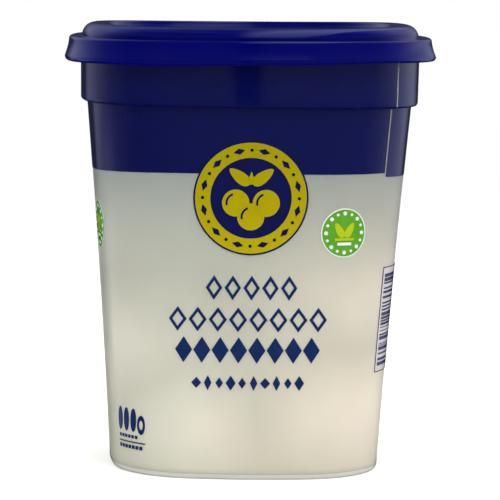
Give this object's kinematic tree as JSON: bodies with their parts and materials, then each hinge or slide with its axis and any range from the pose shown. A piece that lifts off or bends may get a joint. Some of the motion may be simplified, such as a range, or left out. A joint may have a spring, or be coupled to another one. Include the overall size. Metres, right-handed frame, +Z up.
{
  "type": "lidded tub of mozzarella balls in brine",
  "caption": "Milky rounded-square plastic tub with a dark blue printed band and a blue press-on lid, filled with soft white cheese balls in cloudy brine.",
  "frame": {"origin": "centre of the foot, on the surface that the tub stands on", "axes": "+Z up the tub, -Y out of its printed front, +X to the right of someone facing that front"},
  "size_m": [0.095, 0.095, 0.1129],
  "materials": {
    "tub_wall": "milky, see-through thin-wall polypropylene, gloss",
    "brine_and_cheese": "cloudy whey with pale cheese showing through",
    "lid": "deep royal blue moulded polypropylene, soft gloss",
    "print": "ink fields in the wall: navy, yellow, green and white",
    "cheese": "moist porcelain-white stretched curd"
  },
  "bodies": {
    "root": {"tub": "tub_wall", "brine_and_cheese": "brine_and_cheese", "lid": "lid"}
  },
  "joints": []
}
